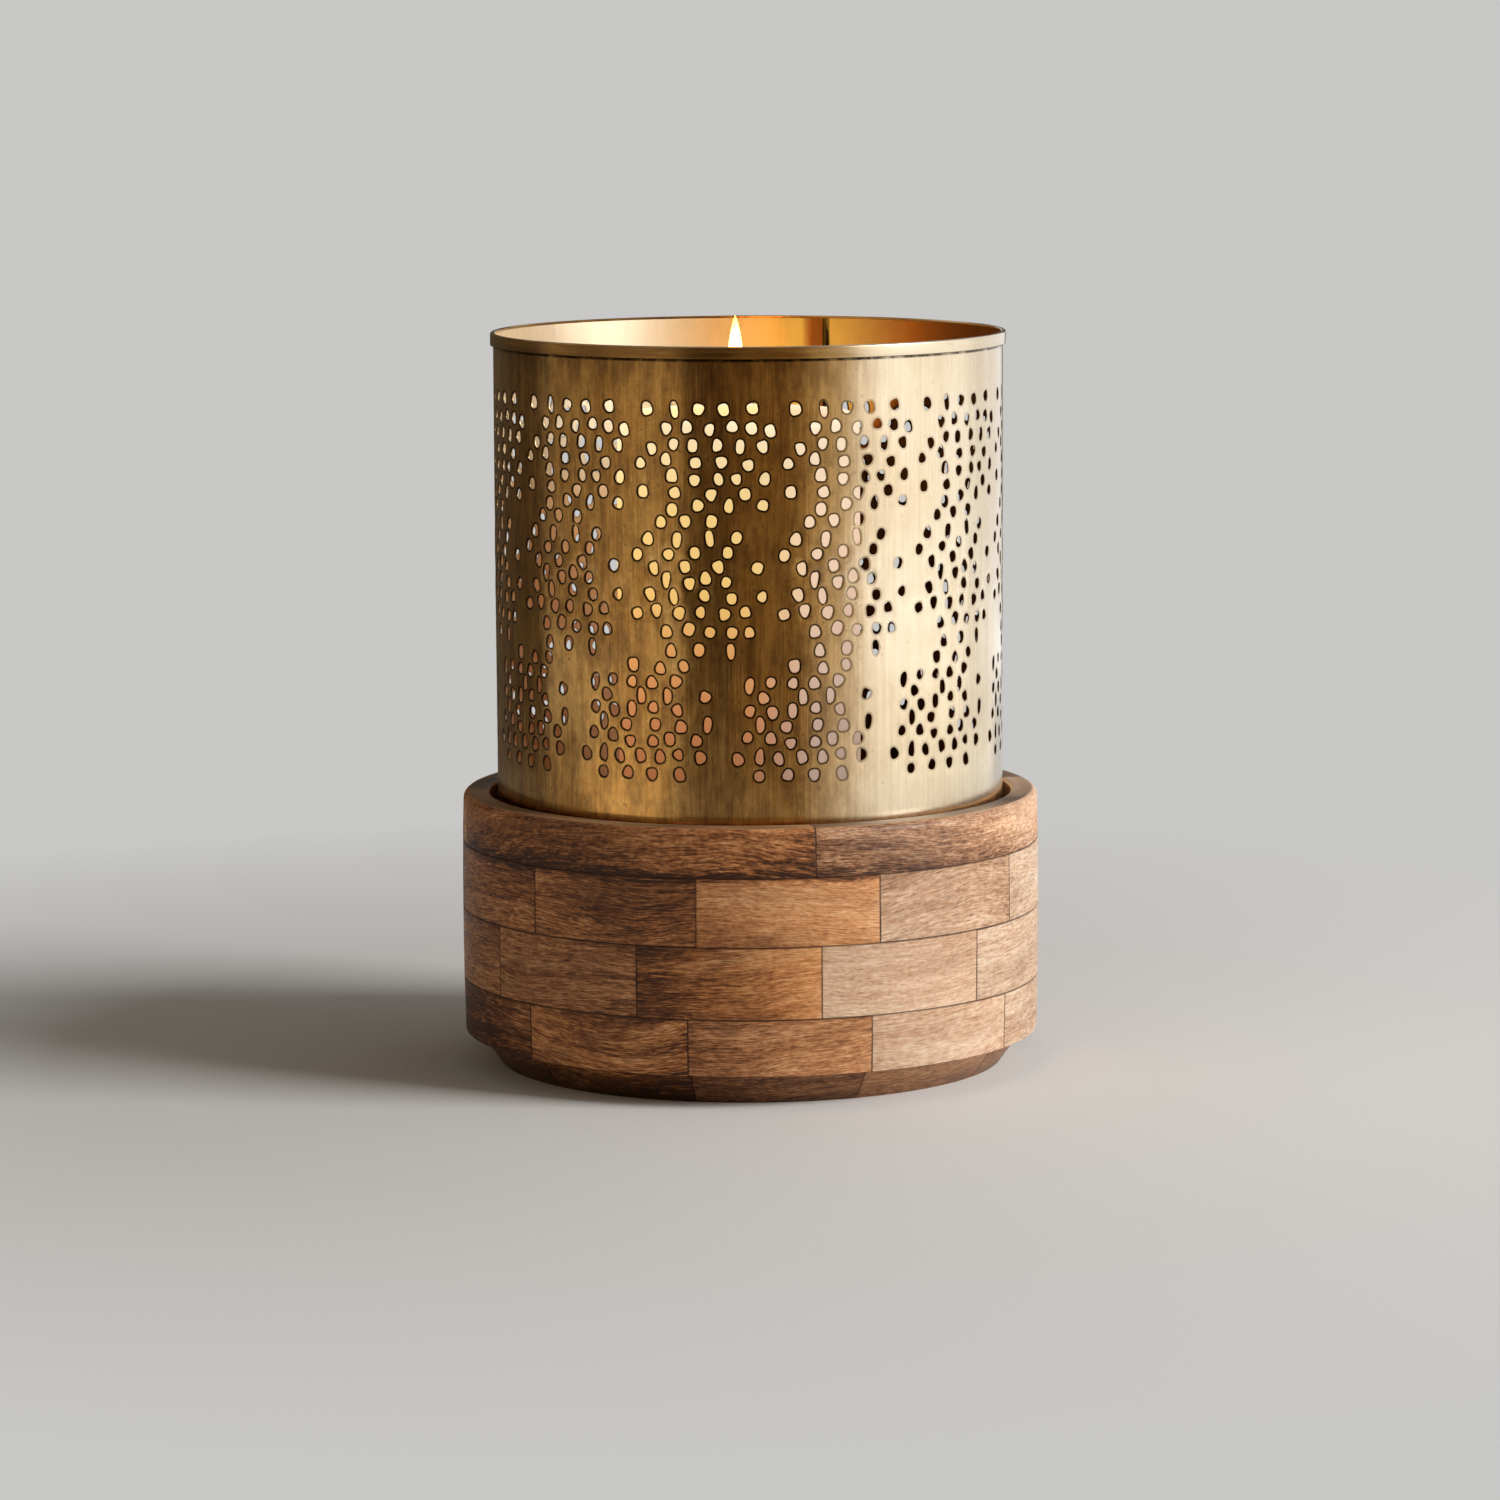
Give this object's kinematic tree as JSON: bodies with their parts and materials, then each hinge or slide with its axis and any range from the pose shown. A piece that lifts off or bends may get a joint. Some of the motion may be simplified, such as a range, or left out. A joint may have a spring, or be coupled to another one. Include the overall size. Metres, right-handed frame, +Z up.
{
  "type": "hurricane candle holder",
  "caption": "Perforated brass cylinder shade that lifts out of a turned, block-built wood base and shelters a pillar candle standing on the floor of its well.",
  "frame": {"origin": "centre of the foot, on the surface that the base stands on", "axes": "+Z up along the shade's axis; -Y is the front, with the shade's lapped seam at the back towards +X"},
  "size_m": [0.23, 0.23, 0.2905],
  "materials": {
    "shade_brass": "antique brushed brass with a vertical grain and a brown patina",
    "rim_brass": "antique brushed brass, brighter along its edge",
    "ring_wood": "oiled hardwood, satin, with dark streaks",
    "block_wood": "oiled hardwood, satin, each block with a tone of its own",
    "floor_wood": "plain sanded hardwood",
    "wax": "ivory wax, translucent, satin",
    "wick": "charred braided cotton"
  },
  "bodies": {
    "base": {"top_ring_segment_01": "ring_wood", "top_ring_segment_02": "ring_wood", "top_ring_segment_03": "ring_wood", "top_ring_segment_04": "ring_wood", "upper_course_block_01": "block_wood", "upper_course_block_02": "block_wood", "upper_course_block_03": "block_wood", "upper_course_block_04": "block_wood", "upper_course_block_05": "block_wood", "upper_course_block_06": "block_wood", "upper_course_block_07": "block_wood", "upper_course_block_08": "block_wood", "upper_course_block_09": "block_wood", "upper_course_block_10": "block_wood", "middle_course_block_01": "block_wood", "middle_course_block_02": "block_wood", "middle_course_block_03": "block_wood", "middle_course_block_04": "block_wood", "middle_course_block_05": "block_wood", "middle_course_block_06": "block_wood", "middle_course_block_07": "block_wood", "middle_course_block_08": "block_wood", "middle_course_block_09": "block_wood", "middle_course_block_10": "block_wood", "lower_course_block_01": "block_wood", "lower_course_block_02": "block_wood", "lower_course_block_03": "block_wood", "lower_course_block_04": "block_wood", "lower_course_block_05": "block_wood", "lower_course_block_06": "block_wood", "lower_course_block_07": "block_wood", "lower_course_block_08": "block_wood", "lower_course_block_09": "block_wood", "lower_course_block_10": "block_wood", "floor_board": "floor_wood"},
    "shade": {"shade_sheet": "shade_brass", "shade_rim": "rim_brass"},
    "candle": {"candle_wax": "wax", "candle_wick": "wick"}
  },
  "joints": [
    {"name": "shade_lift", "type": "slide", "parent": "base", "child": "shade", "axis": [0, 0, 1], "range_m": [0, 0.2]},
    {"name": "candle_lift", "type": "slide", "parent": "base", "child": "candle", "axis": [0, 0, 1], "range_m": [0, 0.28]}
  ]
}
